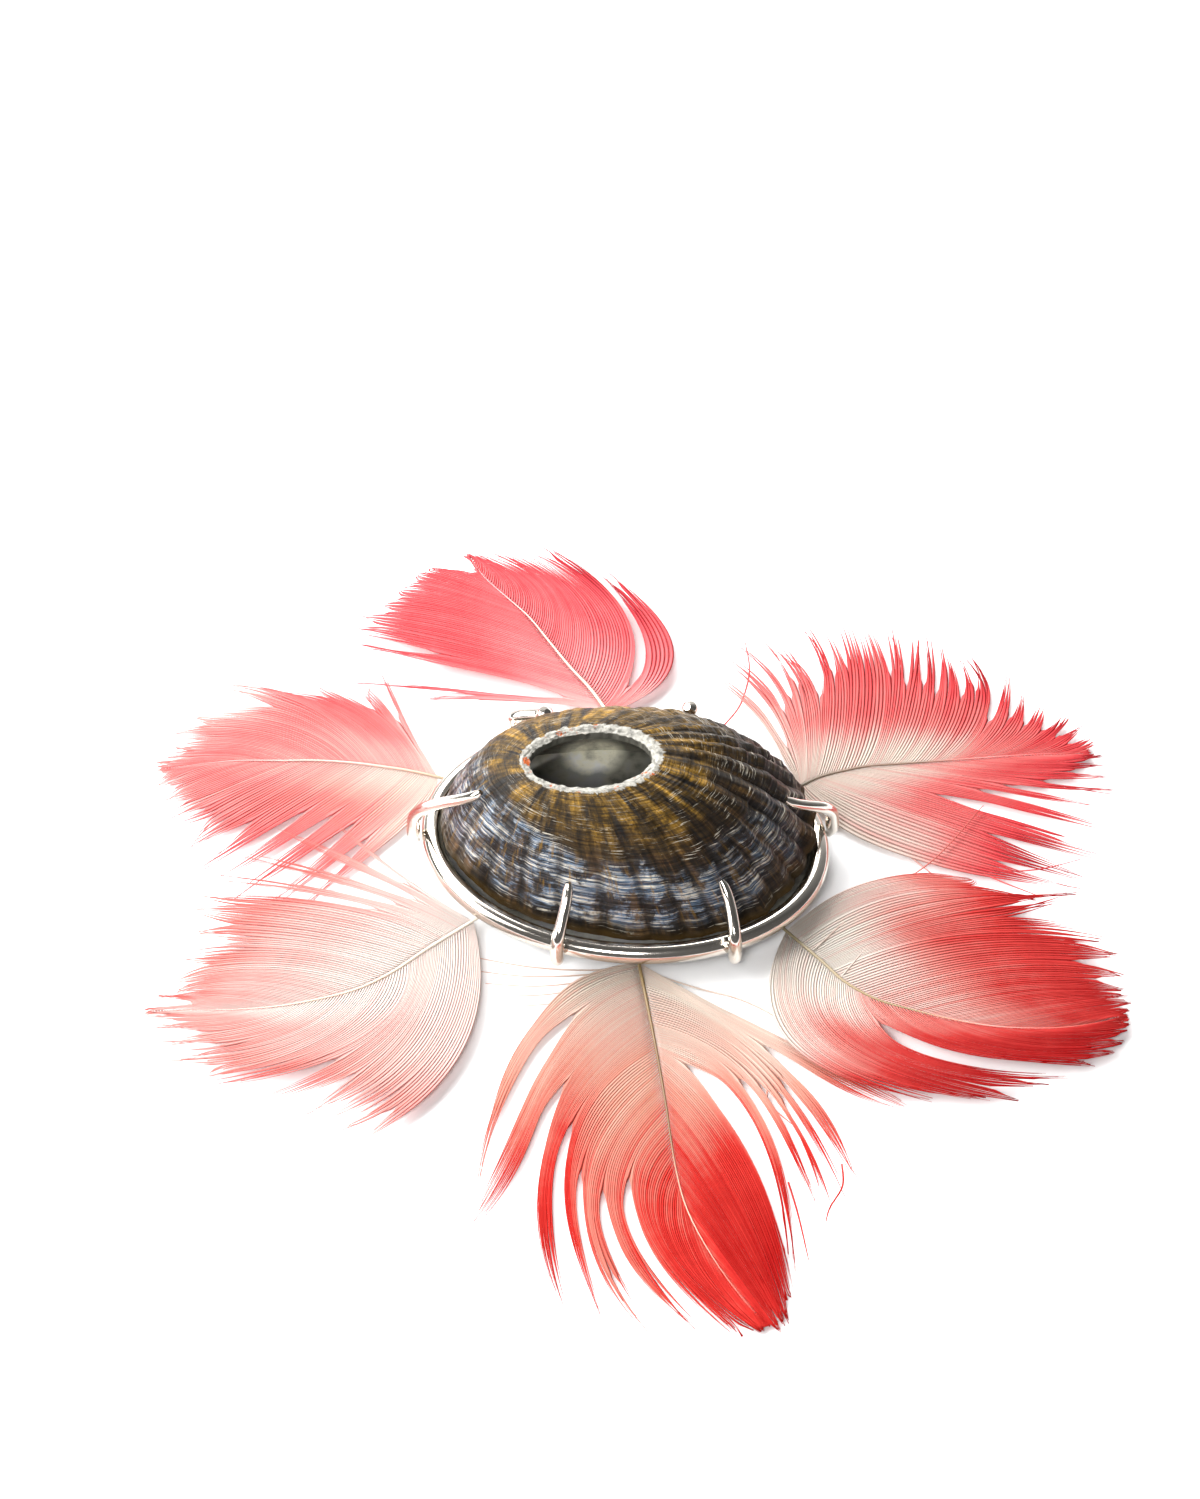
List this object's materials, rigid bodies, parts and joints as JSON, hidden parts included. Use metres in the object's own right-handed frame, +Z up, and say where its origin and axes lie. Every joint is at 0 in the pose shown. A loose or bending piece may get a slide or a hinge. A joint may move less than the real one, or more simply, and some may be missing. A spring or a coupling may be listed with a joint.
{
  "type": "limpet shell in a claw setting with feathers",
  "caption": "Oval ribbed limpet shell with an open, ground-off apex, held by wire claws in a silver ring over pink and red feathers that spread like petals.",
  "frame": {"origin": "centre of the flat underside of the backing disc, which rests on the surface", "axes": "+Z up, the least extent, away from the surface; +X along the long axis of the oval shell to the blunt end's side with the darker flank; +Y from the front feather towards the back feather"},
  "size_m": [0.113, 0.115, 0.0185],
  "materials": {
    "shell": "weathered brown and blue-grey ribs, chalky white cut rim",
    "silver": "polished silver",
    "backing": "plain pale leather",
    "red_feather": "cream at the shaft's base to strong red at the tips",
    "rose_feather": "pale pink to rose",
    "pale_feather": "almost white to pale pink"
  },
  "bodies": {
    "root": {"limpet_shell": "shell", "setting_ring": "silver", "claw_left": "silver", "claw_front_left": "silver", "claw_front_right": "silver", "claw_right": "silver", "claw_back_right": "silver", "claw_back_left": "silver", "back_plate": "silver", "backing_disc": "backing", "feather_front": "red_feather", "feather_lower_left": "pale_feather", "feather_upper_left": "rose_feather", "feather_back": "rose_feather", "feather_upper_right": "red_feather", "feather_lower_right": "red_feather"}
  },
  "joints": []
}
